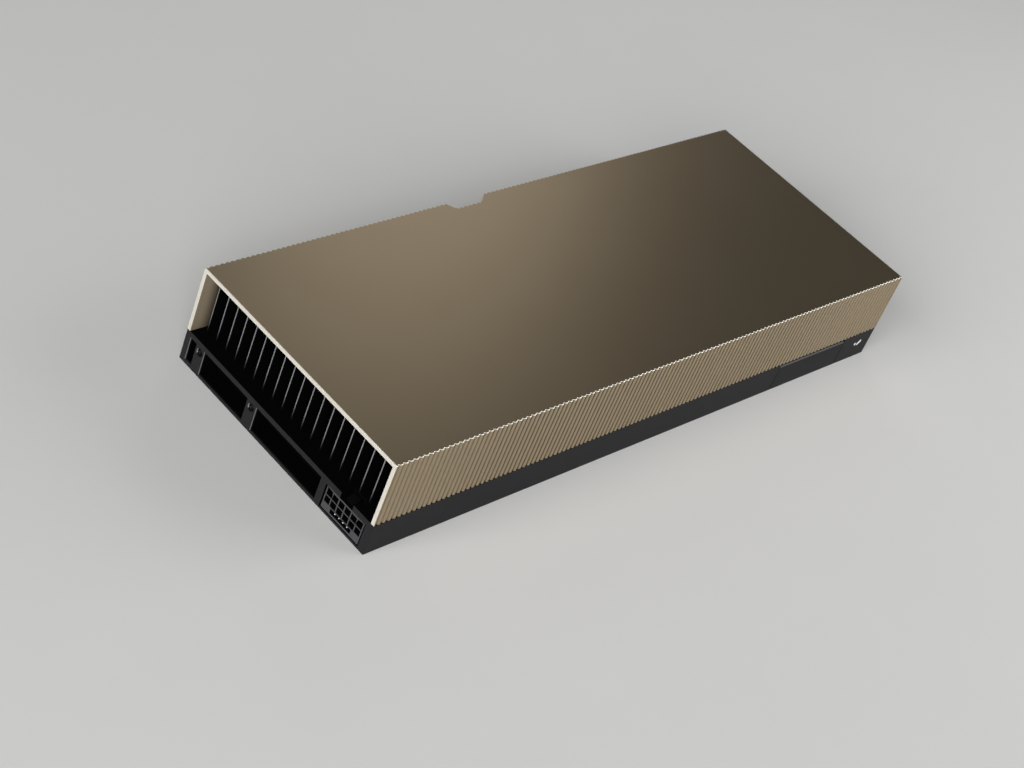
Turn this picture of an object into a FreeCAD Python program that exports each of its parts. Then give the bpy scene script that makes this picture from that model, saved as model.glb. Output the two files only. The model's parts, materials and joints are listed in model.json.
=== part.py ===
import FreeCAD, Part
import math
import os

# Passive accelerator card: a dual-slot board with a processor package, a finned heatsink that the
# chassis fans blow through, a black perimeter frame and a fluted U-shaped shroud.
#
# Millimetres. While it is modelled, x runs from the intake end with the power connector, y from the
# plain long side and z from the face that it rests on. The export moves each node to the row frame,
# whose origin is the middle of the bottom of the whole card.

V = FreeCAD.Vector

# ---------------------------------------------------------------- sizes of the whole card
length = 267.7
body_width = 100.4
finger_reach = 10.75
height = 39.0
frame_height = 12.9

# ---------------------------------------------------------------- fits
fit = 0.25                  # between a plate and the wall that it drops into
hole_play = 0.1             # between a screw and its hole, on the radius
seam = 0.2                  # between two pieces that show side by side
overrun = 1.0               # how far a cut, or a strip that joins two pieces, runs past their faces

# ---------------------------------------------------------------- shroud
shroud_wall = 1.5
shroud_top = 1.45
flute_pitch = 2.176
flute_depth = 0.6
flute_width = 1.15
lug_height = 6.5

# notch in the slot side, which clears the latch of the slot
notch_length = 19.4
notch_hook_gap = 0.6        # between the notch and the board's hook
notch_lead_in = 2.4
notch_lead_out = 4.2
notch_depth = 3.5

# ---------------------------------------------------------------- frame
side_wall = 1.6
end_wall = 1.5
deck_thickness = 2.1
deck_strip = 5.2            # of the frame's own deck at each end, before the heatsink's plate
post_depth = 7.3
ledge_width = 3.0
sill = 1.1
column_half = 3.2

# openings and posts of the intake end, from the slot side to the power connector's bay
side_slot_inset = 2.8
side_slot_width = 3.2
side_slot_sill = 1.6
outer_post = 4.7
window_far_width = 23.9
middle_post = 5.1
bay_post = 2.8

outlet_post = 12.0
outlet_mid_post = 8.0

support_hole_radius = 1.25
support_hole_depth = 6.0
support_hole_drop = 3.9     # from the frame's top to the holes' centres, at both ends
bracket_hole_radius = 1.25
bracket_hole_inset = 6.8

# ---------------------------------------------------------------- bottom
backplate_recess = 0.15
backplate_thickness = 1.0
insulator_thickness = 0.2

# ---------------------------------------------------------------- case screws
case_screw_radius = 1.0
case_head_radius = 1.9
case_screw_inset = 5.0
case_screw_bite = 4.5
case_screw_intake = 24.0    # from the intake end to its two screws
case_screw_outlet = 13.7    # from the outlet end to its two screws

# ---------------------------------------------------------------- circuit board
board_lift = 2.67
board_thickness = 1.57
board_setback = 8.0
tab_offset = 45.3           # from the outlet end to the first finger segment
short_segment = 11.65
key_gap = 1.9
key_depth = 8.0
long_segment = 71.65
tab_chamfer = 1.2
hook_gap = 2.2
hook_length = 6.6
hook_reach = 7.2
hook_neck = 3.6
hook_head = 3.4
tab_clearance = 0.4

contact_length = 4.3
contact_setback = 0.5
contact_thickness = 0.05
contact_margin = 0.475      # from a segment's edge to its first contact

# ---------------------------------------------------------------- processor package
package_x = 140.0
package_side = 60.0
substrate_thickness = 1.9
stiffener_width = 4.0
stiffener_thickness = 0.6
die_length = 30.0
die_width = 27.0
chip_thickness = 0.8
memory_side = 11.0
memory_gap = 0.8
interface_thickness = 0.15
interface_overhang = 0.6

# ---------------------------------------------------------------- heatsink
fin_count = 19
fin_inset = 3.76            # from a long side to the middle of its outer fin
fin_thickness = 0.7
fin_top_gap = 0.1
fin_wall_gap = 0.5
pedestal_overhang = 2.5
heatsink_screw_spread = 37.0
heatsink_screw_radius = 1.25
heatsink_screw_bite = 4.0
heatsink_head_radius = 2.4  # across the corners of the hexagon
heatsink_head_height = 0.45
heatsink_post_half = 3.2
spring_plate_thickness = 0.8
spring_arm = 9.0

# ---------------------------------------------------------------- power stages beside the package
phase_count = 8
phase_pitch = 9.0
inductor_size = (8.0, 7.0, 4.0)
stage_size = (5.0, 6.0, 0.9)
output_cap_size = (3.5, 2.8, 1.9)
inductor_offset = 45.0      # from the package's centre to an inductor's centre
stage_gap = 2.0
cap_gap = 1.2
pad_thickness = 0.5
pad_edge = 0.4

# ---------------------------------------------------------------- power connector
connector_y = 13.2
housing_width = 19.2
housing_headroom = 0.45     # under the deck
housing_depth = 13.0
housing_setback = 0.2
bay_gap = 0.5
socket_side = 2.2
socket_pitch = 3.12
socket_columns = 6
socket_depth = 9.5
sense_slot_width = 10.0
sense_slot_height = 1.5
sense_slot_depth = 6.0
sense_pitch = 2.07
sense_count = 4
sense_contact = (0.7, 0.5)
pin_side = 0.9
pin_recess = 1.8
tail_gap = 1.2              # from the housing's back to the lower pins' tails
latch_slot_width = 6.3
latch_width = 3.8
latch_height = 2.0
latch_start = 1.6
latch_gap = 0.3             # from the latch's heel to the heatsink's plate
latch_ramp = 2.8

# ---------------------------------------------------------------- bridge connector in the plain side
bridge_inset = 19.3         # from the outlet end to the window
bridge_length = 40.8
bridge_sill = 0.6
cover_thickness = 1.2
cover_top_gap = 1.2
cover_chamfer = 0.5
clip_width = 5.0
clip_thickness = 0.8
clip_reach = 1.6
bridge_body_depth = 6.0
bridge_headroom = 0.96      # under the deck
bridge_end_gap = 3.0
bridge_slot_width = 1.6
bridge_slot_depth = 3.5

# ---------------------------------------------------------------- places that follow from the sizes
overall_depth = body_width + finger_reach
deck_under = frame_height - deck_thickness
backplate_top = backplate_recess + backplate_thickness
board_top = board_lift + board_thickness
housing_lift = backplate_top
board_margin = side_wall + fit
package_y = body_width / 2
package_top = board_top + substrate_thickness
chip_top = package_top + chip_thickness
pedestal_under = chip_top + interface_thickness
shroud_under = height - shroud_top
board_end = length - board_setback
fin_setback = deck_strip + seam
heatsink_end = length - fin_setback
latch_end = fin_setback - latch_gap
support_hole_z = frame_height - support_hole_drop
case_screw_x = (case_screw_intake, length - case_screw_outlet)
fin_pitch = (body_width - 2 * fin_inset) / (fin_count - 1)

# the finger segments either side of the key, the hook beside them and the notch beside the hook
tab_end = length - tab_offset
key_end = tab_end - short_segment
key_start = key_end - key_gap
segment_spans = [(key_start - long_segment, key_start), (key_end, tab_end)]
hook_end = segment_spans[0][0] - hook_gap
hook_start = hook_end - hook_length
notch_end = hook_start - notch_hook_gap
notch_start = notch_end - notch_length

# the power connector under the deck, with walls of one thickness between its slot and its sockets
housing_height = deck_under - housing_headroom - housing_lift
housing_top = housing_lift + housing_height
housing_back = housing_setback + housing_depth
socket_web = (housing_height - sense_slot_height - 2 * socket_side) / 4
sense_slot_z = housing_lift + socket_web
lower_socket_z = sense_slot_z + sense_slot_height + socket_web + socket_side / 2
socket_rows = (lower_socket_z, lower_socket_z + socket_side + socket_web)
bay = (connector_y - housing_width / 2 - bay_gap, connector_y + housing_width / 2 + bay_gap)

# openings of the intake end
side_slot = (body_width - side_slot_inset - side_slot_width, body_width - side_slot_inset)
window_far = (side_slot[0] - outer_post - window_far_width, side_slot[0] - outer_post)
window_near = (bay[1] + bay_post, window_far[0] - middle_post)

# the bridge connector's window in the plain side
bridge_start = length - bridge_inset - bridge_length
bridge_body_height = deck_under - bridge_headroom - board_top


# ---------------------------------------------------------------- helpers
def block(x, y, z):
    """A box between the low and high values given for each axis."""
    return Part.makeBox(x[1] - x[0], y[1] - y[0], z[1] - z[0], V(x[0], y[0], z[0]))


def around(centre, size):
    """The low and high values of a span about its centre."""
    return (centre - size / 2, centre + size / 2)


def prism(points, low, high):
    """A plan outline raised from one height to another."""
    wire = Part.makePolygon([V(x, y, low) for x, y in points + points[:1]])
    return Part.Face(wire).extrude(V(0, 0, high - low))


def side_prism(points, y_low, y_high):
    """An outline in x and z drawn out along y."""
    wire = Part.makePolygon([V(x, y_low, z) for x, z in points + points[:1]])
    return Part.Face(wire).extrude(V(0, y_high - y_low, 0))


def rod(x, y, radius, low, high):
    """An upright cylinder."""
    return Part.makeCylinder(radius, high - low, V(x, y, low))


def bore(start, end, y, z, radius):
    """A cylinder along x, for the holes in the end plates."""
    return Part.makeCylinder(radius, end - start, V(start, y, z), V(1, 0, 0))


def chip(x, y, size, low=board_top):
    """A flat electronic part standing on the board, by its centre."""
    return block(around(x, size[0]), around(y, size[1]), (low, low + size[2]))


def from_slot_side(y):
    """The same distance from the slot side as y is from the plain side."""
    return body_width - y


def export(node, shape):
    """Write one node in the row frame."""
    moved = shape.copy()
    moved.translate(V(-length / 2, -overall_depth / 2, 0))
    moved.exportStep(f"parts/{node}.step")


# ---------------------------------------------------------------- plan outlines with the notch
def notch_wall(y, margin, edge, lead, outward):
    """Where a slanted wall of the notch, thickened by margin, crosses the line at y."""
    slope = lead / notch_depth
    return edge + outward * (margin * math.hypot(1, slope) - (body_width - y) * slope)


def plan(x_low, x_high, margin):
    """The body's outline kept margin inside its long sides and the notch."""
    rim = body_width - margin
    foot = body_width - notch_depth - margin
    return [
        (x_low, margin),
        (x_high, margin),
        (x_high, rim),
        (notch_wall(rim, margin, notch_end, notch_lead_out, 1), rim),
        (notch_wall(foot, margin, notch_end, notch_lead_out, 1), foot),
        (notch_wall(foot, margin, notch_start, notch_lead_in, -1), foot),
        (notch_wall(rim, margin, notch_start, notch_lead_in, -1), rim),
        (x_low, rim),
    ]


def flutes(start, end, y, inward):
    """Points of the V flutes that fit between start and end on a wall at y."""
    count = max(round((end - start) / flute_pitch), 1)
    pitch = (end - start) / count
    points = []
    for i in range(count):
        middle = start + (i + 0.5) * pitch
        points.append((middle - flute_width / 2, y))
        points.append((middle, y + inward * flute_depth))
        points.append((middle + flute_width / 2, y))
    return points


def fluted_outline():
    """The shroud's plan: flutes on both long sides and in the bottom of the notch."""
    foot = body_width - notch_depth
    foot_start = notch_start + notch_lead_in
    foot_end = notch_end - notch_lead_out
    plain_side = [(0, 0)] + flutes(0, length, 0, 1) + [(length, 0)]
    slot_side = [(0, body_width)] + flutes(0, notch_start, body_width, -1)
    slot_side += [(notch_start, body_width), (foot_start, foot)]
    slot_side += flutes(foot_start, foot_end, foot, -1)
    slot_side += [(foot_end, foot), (notch_end, body_width)]
    slot_side += flutes(notch_end, length, body_width, -1) + [(length, body_width)]
    return plain_side + slot_side[::-1]


def case_screw_places():
    """Centres of the case screws, with the direction inwards from their long wall."""
    plain = [(x, case_screw_inset, 1) for x in case_screw_x]
    slot = [(x, from_slot_side(case_screw_inset), -1) for x in case_screw_x]
    return plain + slot


def screw_block(place, half, behind, ahead, z):
    """A block about a case screw, from behind it at the wall to ahead of it inwards."""
    x, y, inward = place
    ends = (y - inward * behind, y + inward * ahead)
    return block((x - half, x + half), (min(ends), max(ends)), z)


def heatsink_screw_places():
    """Centres of the four heatsink screws round the package."""
    reach = heatsink_screw_spread
    return [(package_x + i * reach, package_y + j * reach) for i in (-1, 1) for j in (-1, 1)]


# ---------------------------------------------------------------- shroud
def make_top_shroud():
    shell = prism(fluted_outline(), frame_height, height)
    hollow = prism(plan(-overrun, length + overrun, shroud_wall), frame_height, shroud_under)
    lug_z = (frame_height, frame_height + lug_height)
    hole_top = frame_height + case_screw_bite + hole_play
    lugs = []
    holes = []
    for place in case_screw_places():
        behind = case_screw_inset - shroud_wall
        lugs.append(screw_block(place, column_half, behind, column_half, lug_z))
        x, y, inward = place
        holes.append(rod(x, y, case_screw_radius + hole_play, frame_height, hole_top))
    return shell.cut(hollow).fuse(lugs).cut(holes).removeSplitter()


# ---------------------------------------------------------------- frame
def intake_posts():
    """Spans in y of the posts between the openings of the intake end."""
    return [(0, bay[0]), (bay[1], window_near[0]), (window_near[1], window_far[0]),
            (window_far[1], side_slot[0]), (side_slot[1], body_width)]


def support_hole_places():
    """Y of the two threaded holes for the chassis support, in the middle of their posts."""
    return [sum(intake_posts()[i]) / 2 for i in (2, 3)]


def outlet_windows():
    """The two openings of the outlet end."""
    middle = body_width / 2
    return [(outlet_post, middle - outlet_mid_post / 2),
            (middle + outlet_mid_post / 2, from_slot_side(outlet_post))]


def make_base_frame():
    outer = prism(plan(0, length, 0), 0, frame_height)
    cavity = prism(plan(end_wall, length - end_wall, side_wall), 0, deck_under)
    well = prism(plan(deck_strip, length - deck_strip, side_wall), deck_under, frame_height)
    frame = outer.cut([cavity, well])

    # the ledge that the board lies under and the heatsink stands on
    ledge = prism(plan(housing_back + fit, board_end, side_wall), board_top, deck_under)
    ledge = ledge.cut(prism(plan(0, length, side_wall + ledge_width), board_top, deck_under))
    bridge_span = (bridge_start, bridge_start + bridge_length)
    bridge_room = block(bridge_span, (side_wall, side_wall + ledge_width), (board_top, deck_under))
    solids = [ledge.cut(bridge_room)]

    # screw columns, and the posts of both end plates
    columns_z = (backplate_top, deck_under)
    for place in case_screw_places():
        behind = case_screw_inset - side_wall
        solids.append(screw_block(place, column_half, behind, column_half, columns_z))
    for span in intake_posts():
        solids.append(block((end_wall, post_depth), span, columns_z))
    outlet_x = (length - post_depth, length - end_wall)
    windows = outlet_windows()
    outlet_posts = [(0, windows[0][0]), (windows[0][1], windows[1][0]), (windows[1][1], body_width)]
    for span in outlet_posts:
        solids.append(block(outlet_x, span, columns_z))
    frame = frame.fuse(solids)

    # openings in the two end plates
    through_intake = (-overrun, end_wall + overrun)
    cuts = [block(through_intake, window_near, (sill, deck_under))]
    cuts.append(block(through_intake, window_far, (sill, deck_under)))
    cuts.append(block(through_intake, side_slot, (side_slot_sill, deck_under)))
    cuts.append(block(through_intake, bay, (housing_lift - fit, housing_top + fit)))
    latch_slot = around(connector_y, latch_slot_width)
    cuts.append(block((-overrun, deck_strip), latch_slot, (housing_top, frame_height + overrun)))
    through_outlet = (length - end_wall - overrun, length + overrun)
    for span in windows:
        cuts.append(block(through_outlet, span, (sill, deck_under)))

    # threaded holes for the support and slot brackets, and open grooves for the case screws
    for y in support_hole_places():
        cuts.append(bore(-overrun, support_hole_depth, y, support_hole_z, support_hole_radius))
    for y in (bracket_hole_inset, from_slot_side(bracket_hole_inset)):
        start = length - support_hole_depth
        cuts.append(bore(start, length + overrun, y, support_hole_z, bracket_hole_radius))
    for place in case_screw_places():
        half = case_screw_radius + hole_play
        cuts.append(screw_block(place, half, half, column_half + ledge_width, columns_z))

    # the way out for the finger tab and the hook, and the window of the bridge connector
    tab_span = (hook_start - tab_clearance, tab_end + tab_clearance)
    tab_room = (from_slot_side(side_wall) - fit, body_width + overrun)
    cuts.append(block(tab_span, tab_room, (-overrun, board_top + fit)))
    cuts.append(block(bridge_span, (-overrun, side_wall), (bridge_sill, frame_height + overrun)))
    return frame.cut(cuts).removeSplitter()


# ---------------------------------------------------------------- bottom plates
def make_backplate():
    inner = plan(end_wall + fit, length - end_wall - fit, side_wall + fit)
    plate = prism(inner, backplate_recess, backplate_top)
    return plate.cut([countersink(x, y, hole_play) for x, y, inward in case_screw_places()])


def countersink(x, y, play):
    """A case screw's conical head, or with play its seat in the backplate."""
    return Part.makeCone(case_head_radius + play, case_screw_radius + play,
                         backplate_thickness, V(x, y, backplate_recess))


def column_reliefs(low, high):
    """Square notches in a plate for the frame's screw columns."""
    reach = column_half + fit
    return [screw_block(p, reach, case_screw_inset, reach, (low, high)) for p in case_screw_places()]


def connector_room(low, high):
    """The corner of a plate that makes way for the power connector."""
    return block((0, housing_back + fit), (0, bay[1]), (low, high))


def make_insulating_sheet():
    top = backplate_top + insulator_thickness
    sheet = prism(plan(board_setback, board_end, side_wall + fit), backplate_top, top)
    return sheet.cut(column_reliefs(backplate_top, top) + [connector_room(backplate_top, top)])


# ---------------------------------------------------------------- circuit board
def tab_segment(span):
    """One finger segment, with its two outer corners cut off."""
    tip = overall_depth
    root = from_slot_side(board_margin) - fit
    return prism([
        (span[0], root),
        (span[1], root),
        (span[1], tip - tab_chamfer),
        (span[1] - tab_chamfer, tip),
        (span[0] + tab_chamfer, tip),
        (span[0], tip - tab_chamfer),
    ], board_lift, board_top)


def hook():
    """The hook that the slot's latch holds: a neck with a head that turns to the segment."""
    root = from_slot_side(board_margin) - fit
    tip = body_width + hook_reach
    return prism([
        (hook_start, root),
        (hook_start + hook_neck, root),
        (hook_start + hook_neck, tip - hook_head),
        (hook_end, tip - hook_head),
        (hook_end, tip),
        (hook_start + tab_chamfer, tip),
        (hook_start, tip - tab_chamfer),
    ], board_lift, board_top)


def make_circuit_board():
    board = prism(plan(board_setback, board_end, board_margin), board_lift, board_top)
    root = (from_slot_side(board_margin) - fit, overall_depth - key_depth)
    behind_key = block((key_start - overrun, key_end + overrun), root, (board_lift, board_top))
    board = board.fuse([tab_segment(s) for s in segment_spans] + [hook(), behind_key])
    cuts = column_reliefs(board_lift, board_top) + [connector_room(board_lift, board_top)]
    cuts += heatsink_posts(heatsink_post_half + fit, board_top)
    return board.cut(cuts).removeSplitter()


def make_edge_contacts(low, high):
    """The plated contact field of each finger segment, on one face of the tab."""
    tip = overall_depth - contact_setback
    return Part.makeCompound([
        block((start + contact_margin, end - contact_margin), (tip - contact_length, tip), (low, high))
        for start, end in segment_spans
    ])


# ---------------------------------------------------------------- processor package
def make_substrate():
    return chip(package_x, package_y, (package_side, package_side, substrate_thickness))


def make_stiffener():
    ring = chip(package_x, package_y, (package_side, package_side, stiffener_thickness), package_top)
    inner = package_side - 2 * stiffener_width
    return ring.cut(chip(package_x, package_y, (inner, inner, stiffener_thickness), package_top))


def memory_places():
    """Centres of the six memory stacks, three on each side of the die."""
    reach = (die_width + memory_side) / 2 + memory_gap
    step = memory_side + memory_gap
    return [(package_x + i * step, package_y + j * reach) for j in (-1, 1) for i in (-1, 0, 1)]


def make_memory_stacks():
    size = (memory_side, memory_side, chip_thickness)
    return Part.makeCompound([chip(x, y, size, package_top) for x, y in memory_places()])


def chip_area():
    """Length and width of the field that the die and the memory cover."""
    across = 3 * memory_side + 2 * memory_gap
    return (max(die_length, across), die_width + 2 * (memory_side + memory_gap))


def make_thermal_interface():
    area = chip_area()
    size = (area[0] + interface_overhang, area[1] + interface_overhang, interface_thickness)
    return chip(package_x, package_y, size, chip_top)


# ---------------------------------------------------------------- power stages
def phase_rows():
    """Y of each power phase, evenly spaced about the package's centre."""
    first = package_y - (phase_count - 1) / 2 * phase_pitch
    return [first + i * phase_pitch for i in range(phase_count)]


def stage_offset():
    return inductor_offset + (inductor_size[0] + stage_size[0]) / 2 + stage_gap


def output_cap_offset():
    return inductor_offset - (inductor_size[0] + output_cap_size[0]) / 2 - cap_gap


def phase_chips(offset, size):
    """One part for each phase on both sides of the package."""
    places = [(package_x + side * offset, y) for side in (-1, 1) for y in phase_rows()]
    return Part.makeCompound([chip(x, y, size) for x, y in places])


def phase_strips(offset, size, low, high, edge):
    """One strip on each side, over a whole column of the phases' parts."""
    rows = phase_rows()
    span = (rows[0] - size[1] / 2 - edge, rows[-1] + size[1] / 2 + edge)
    columns = [around(package_x + side * offset, size[0] + 2 * edge) for side in (-1, 1)]
    return [block(x, span, (low, high)) for x in columns]


# ---------------------------------------------------------------- heatsink
def heatsink_posts(half, high):
    """Square posts round the package, from the board's lower face up, or the board's holes."""
    return [block((x - half, x + half), (y - half, y + half), (board_lift, high))
            for x, y in heatsink_screw_places()]


def make_heatsink_base():
    plate = prism(plan(fin_setback, heatsink_end, side_wall + fit), deck_under, frame_height)
    area = chip_area()
    pedestal = (area[0] + 2 * pedestal_overhang, area[1] + 2 * pedestal_overhang)
    solids = [block(around(package_x, pedestal[0]), around(package_y, pedestal[1]),
                    (pedestal_under, deck_under))]
    inductor_top = board_top + inductor_size[2] + pad_thickness
    solids += phase_strips(inductor_offset, inductor_size, inductor_top, deck_under, pad_edge)
    stage_top = board_top + stage_size[2] + pad_thickness
    solids += phase_strips(stage_offset(), stage_size, stage_top, deck_under, pad_edge)
    solids += heatsink_posts(heatsink_post_half, deck_under)
    hole_top = board_lift + heatsink_screw_bite + hole_play
    cuts = []
    for x, y in heatsink_screw_places():
        cuts.append(rod(x, y, heatsink_screw_radius + hole_play, board_lift, hole_top))
    for place in case_screw_places():
        half = case_screw_radius + hole_play
        cuts.append(screw_block(place, half, case_screw_inset, half, (deck_under, frame_height)))
    return plate.fuse(solids).cut(cuts).removeSplitter()


def make_heatsink_fins():
    """Upright plates along the card. The outer ones make way for the lugs and for the notch."""
    inside = prism(plan(0, length, shroud_wall + fin_wall_gap), frame_height, shroud_under)
    lug_top = frame_height + lug_height + fin_wall_gap
    reach = column_half + fin_wall_gap
    lug_rooms = [screw_block(p, reach, case_screw_inset, reach, (frame_height, lug_top))
                 for p in case_screw_places()]
    fins = []
    for i in range(fin_count):
        middle = package_y + (i - (fin_count - 1) / 2) * fin_pitch
        fin = block((fin_setback, heatsink_end), around(middle, fin_thickness),
                    (frame_height, shroud_under - fin_top_gap))
        fins += fin.common(inside).cut(lug_rooms).Solids
    return Part.makeCompound(fins)


def make_spring_plate():
    """A cross of two flat arms under the board. Its forked ends pull the posts down."""
    low = board_lift - spring_plate_thickness
    screw_reach = heatsink_screw_spread * math.sqrt(2)
    reach = screw_reach + spring_arm / 2
    half = heatsink_screw_radius + hole_play
    arms = []
    for angle in (45, -45):
        arm = block((-reach, reach), around(0, spring_arm), (low, board_lift))
        for side in (-1, 1):
            ends = (side * (screw_reach - half), side * (reach + overrun))
            arm = arm.cut(block((min(ends), max(ends)), (-half, half), (low, board_lift)))
        arm.rotate(V(0, 0, 0), V(0, 0, 1), angle)
        arm.translate(V(package_x, package_y, 0))
        arms.append(arm)
    return arms[0].fuse(arms[1]).removeSplitter()


# ---------------------------------------------------------------- screws
def make_case_screws():
    """Countersunk screws whose heads lie in the backplate."""
    screws = []
    for x, y, inward in case_screw_places():
        shank = rod(x, y, case_screw_radius, backplate_top, frame_height + case_screw_bite)
        screws.append(countersink(x, y, 0).fuse(shank).removeSplitter())
    return Part.makeCompound(screws)


def hexagon(x, y, radius):
    """The corners of a hexagon in plan."""
    turns = [math.radians(60 * i) for i in range(6)]
    return [(x + radius * math.cos(a), y + radius * math.sin(a)) for a in turns]


def make_heatsink_screws():
    """Thin hexagon-headed screws under the spring plate that end in the heatsink's posts."""
    under = board_lift - spring_plate_thickness
    screws = []
    for x, y in heatsink_screw_places():
        outline = hexagon(x, y, heatsink_head_radius)
        head = prism(outline, under - heatsink_head_height, under)
        shank = rod(x, y, heatsink_screw_radius, under, board_lift + heatsink_screw_bite)
        screws.append(head.fuse(shank).removeSplitter())
    return Part.makeCompound(screws)


# ---------------------------------------------------------------- power connector
def socket_places():
    """Y and height of the twelve power sockets."""
    first = connector_y - (socket_columns - 1) / 2 * socket_pitch
    return [(first + i * socket_pitch, z) for z in socket_rows for i in range(socket_columns)]


def make_connector_housing():
    body = block((housing_setback, housing_back), around(connector_y, housing_width),
                 (housing_lift, housing_top))
    ramp = side_prism([
        (latch_start, housing_top),
        (latch_end, housing_top),
        (latch_end, housing_top + latch_height),
        (latch_start + latch_ramp, housing_top + latch_height),
    ], *around(connector_y, latch_width))
    cuts = []
    for y, z in socket_places():
        pocket_end = housing_setback + socket_depth
        cuts.append(block((0, pocket_end), around(y, socket_side), around(z, socket_side)))
        pin_hole = pin_side + hole_play
        through = (0, housing_back + overrun)
        cuts.append(block(through, around(y, pin_hole), around(z, pin_hole)))
    slot_z = (sense_slot_z, sense_slot_z + sense_slot_height)
    slot_y = around(connector_y, sense_slot_width)
    cuts.append(block((0, housing_setback + sense_slot_depth), slot_y, slot_z))
    return body.fuse(ramp).cut(cuts).removeSplitter()


def make_power_contacts():
    """Pins in the sockets whose tails turn down to the board behind the housing."""
    pins = []
    for y, z in socket_places():
        tail = housing_back + tail_gap + (2 * pin_side if z > lower_socket_z else 0)
        front = housing_setback + pin_recess
        top = z + pin_side / 2
        under = z - pin_side / 2
        pins.append(side_prism([
            (front, under),
            (tail, under),
            (tail, board_top),
            (tail + pin_side, board_top),
            (tail + pin_side, top),
            (front, top),
        ], *around(y, pin_side)))
    return Part.makeCompound(pins)


def make_sense_contacts():
    """Small contacts along the roof of the sense slot."""
    first = connector_y - (sense_count - 1) / 2 * sense_pitch
    roof = sense_slot_z + sense_slot_height
    width, thickness = sense_contact
    front = housing_setback + 2 * fit
    back = housing_setback + sense_slot_depth
    return Part.makeCompound([
        block((front, back), around(first + i * sense_pitch, width), (roof - thickness, roof))
        for i in range(sense_count)
    ])


# ---------------------------------------------------------------- bridge connector and cover
def bridge_middle():
    return bridge_start + bridge_length / 2


def make_bridge_connector():
    """A board-edge connector behind the cover, with its slot open to the plain side."""
    size = bridge_length - 2 * bridge_end_gap
    front = side_wall + fit
    body = block(around(bridge_middle(), size), (front, front + bridge_body_depth),
                 (board_top, board_top + bridge_body_height))
    middle = board_top + bridge_body_height / 2
    slot = block(around(bridge_middle(), size - 2 * bridge_slot_width),
                 (front, front + bridge_slot_depth), around(middle, bridge_slot_width))
    return body.cut(slot)


def make_bridge_cover():
    """A flush plate in the side window, with a chamfered top edge and two clips."""
    low = bridge_sill
    high = frame_height - cover_top_gap
    wire = Part.makePolygon([V(0, y, z) for y, z in [
        (0, low), (cover_thickness, low), (cover_thickness, high), (cover_chamfer, high),
        (0, high - cover_chamfer), (0, low)]])
    plate = Part.Face(wire).extrude(V(bridge_length - 2 * seam, 0, 0))
    plate.translate(V(bridge_start + seam, 0, 0))
    clip_x = bridge_length / 2 - bridge_end_gap / 2
    clips = []
    for side in (-1, 1):
        x = around(bridge_middle() + side * clip_x, clip_thickness)
        y = (cover_thickness, cover_thickness + clip_reach)
        clips.append(block(x, y, (board_top + fit, board_top + fit + clip_width)))
    return plate.fuse(clips).removeSplitter()


# ---------------------------------------------------------------- parts along the board
input_inductor_size = (10.0, 10.0, 5.0)
input_cap_size = (7.3, 4.3, 2.8)
input_cap_pitch = 7.0
input_cap_count = 6
shunt_size = (6.35, 3.2, 0.7)
fuse_size = (6.1, 2.6, 2.4)
power_controller_size = (7.0, 7.0, 0.9)
management_controller_size = (13.0, 13.0, 1.2)
firmware_size = (5.3, 7.8, 1.8)
crystal_size = (3.2, 2.5, 0.8)
back_cap_size = (1.6, 0.8, 0.8)
back_cap_pitch = 4.0

# each part's distance behind the power connector or the package, and from the plain side
shunt_behind = 9.0
fuse_behind = 18.0
input_inductor_behind = 30.0
input_cap_behind = 42.0
outlet_chips_behind = 75.0


def input_part_x(behind):
    return housing_back + behind


def make_pair(behind, size):
    """Two parts side by side behind the power connector."""
    x = input_part_x(behind)
    return Part.makeCompound([chip(x, connector_y + side * socket_pitch, size) for side in (-1, 1)])


def make_input_capacitors():
    x = input_part_x(input_cap_behind)
    rows = [connector_y + i * input_cap_pitch for i in range(input_cap_count)]
    return Part.makeCompound([chip(x, y, input_cap_size) for y in rows])


def make_back_capacitors():
    """Small capacitors under the package, on the board's lower face between the spring's arms."""
    low = board_lift - back_cap_size[2]
    rows = [(i, j) for i in (-2, -1, 0, 1, 2) for j in (-1, 1)]
    reach = spring_arm + 2 * back_cap_pitch
    return Part.makeCompound([
        chip(package_x + i * back_cap_pitch / 2, package_y + j * reach, back_cap_size, low)
        for i, j in rows
    ])


# ---------------------------------------------------------------- the nodes
outlet_chips_x = package_x + outlet_chips_behind

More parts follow.
